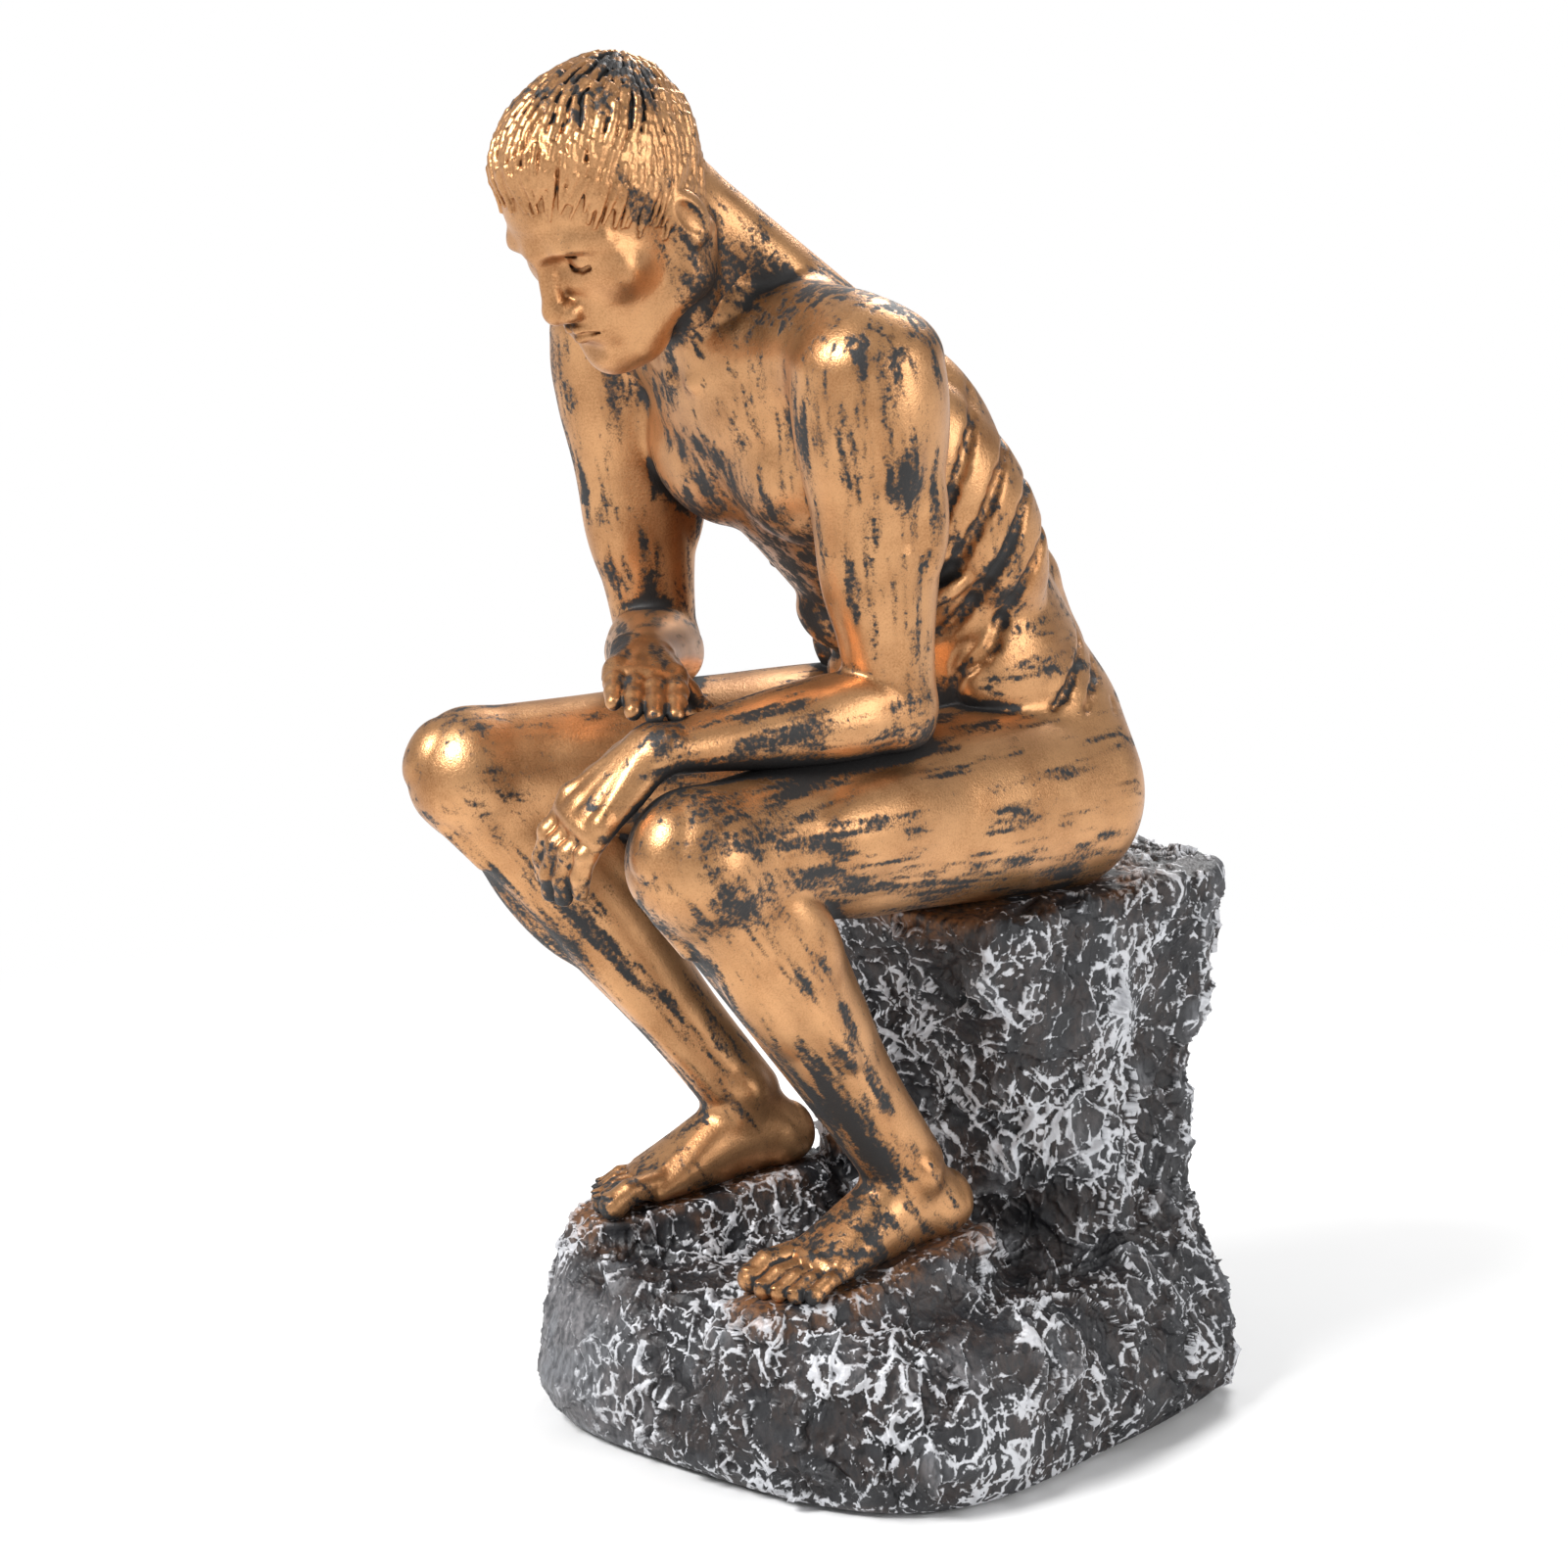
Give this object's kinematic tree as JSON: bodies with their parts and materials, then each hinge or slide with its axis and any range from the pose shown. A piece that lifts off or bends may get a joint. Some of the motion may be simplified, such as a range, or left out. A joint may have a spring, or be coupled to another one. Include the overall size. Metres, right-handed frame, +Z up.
{
  "type": "seated figure ornament",
  "caption": "Desk ornament: a copper-coloured seated man in thought, resting folded forearms on the thighs, pinned to a dark dry-brushed rock with a felt underside.",
  "frame": {"origin": "middle of the rock's footprint, on the surface that the ornament stands on", "axes": "+Z up, and the figure faces -Y, so the figure's left side is +X"},
  "size_m": [0.1218, 0.1463, 0.2526],
  "materials": {
    "copper": "cast resin with a satin copper metallic paint and black patina in the recesses",
    "rock": "cast resin, charcoal black with silver dry-brushed ridges",
    "board": "plain fibreboard",
    "felt": "black felt",
    "steel": "plain drawn rod"
  },
  "bodies": {
    "root": {"rock_base": "rock", "base_plate": "board", "felt_pad": "felt", "torso_casting": "copper", "head_casting": "copper", "left_arm_casting": "copper", "right_arm_casting": "copper", "left_leg_casting": "copper", "right_leg_casting": "copper", "neck_dowel": "steel", "left_arm_dowel": "steel", "right_arm_dowel": "steel", "left_thigh_dowel": "steel", "right_thigh_dowel": "steel", "left_seat_dowel": "steel", "right_seat_dowel": "steel", "left_foot_dowel": "steel", "right_foot_dowel": "steel"}
  },
  "joints": []
}
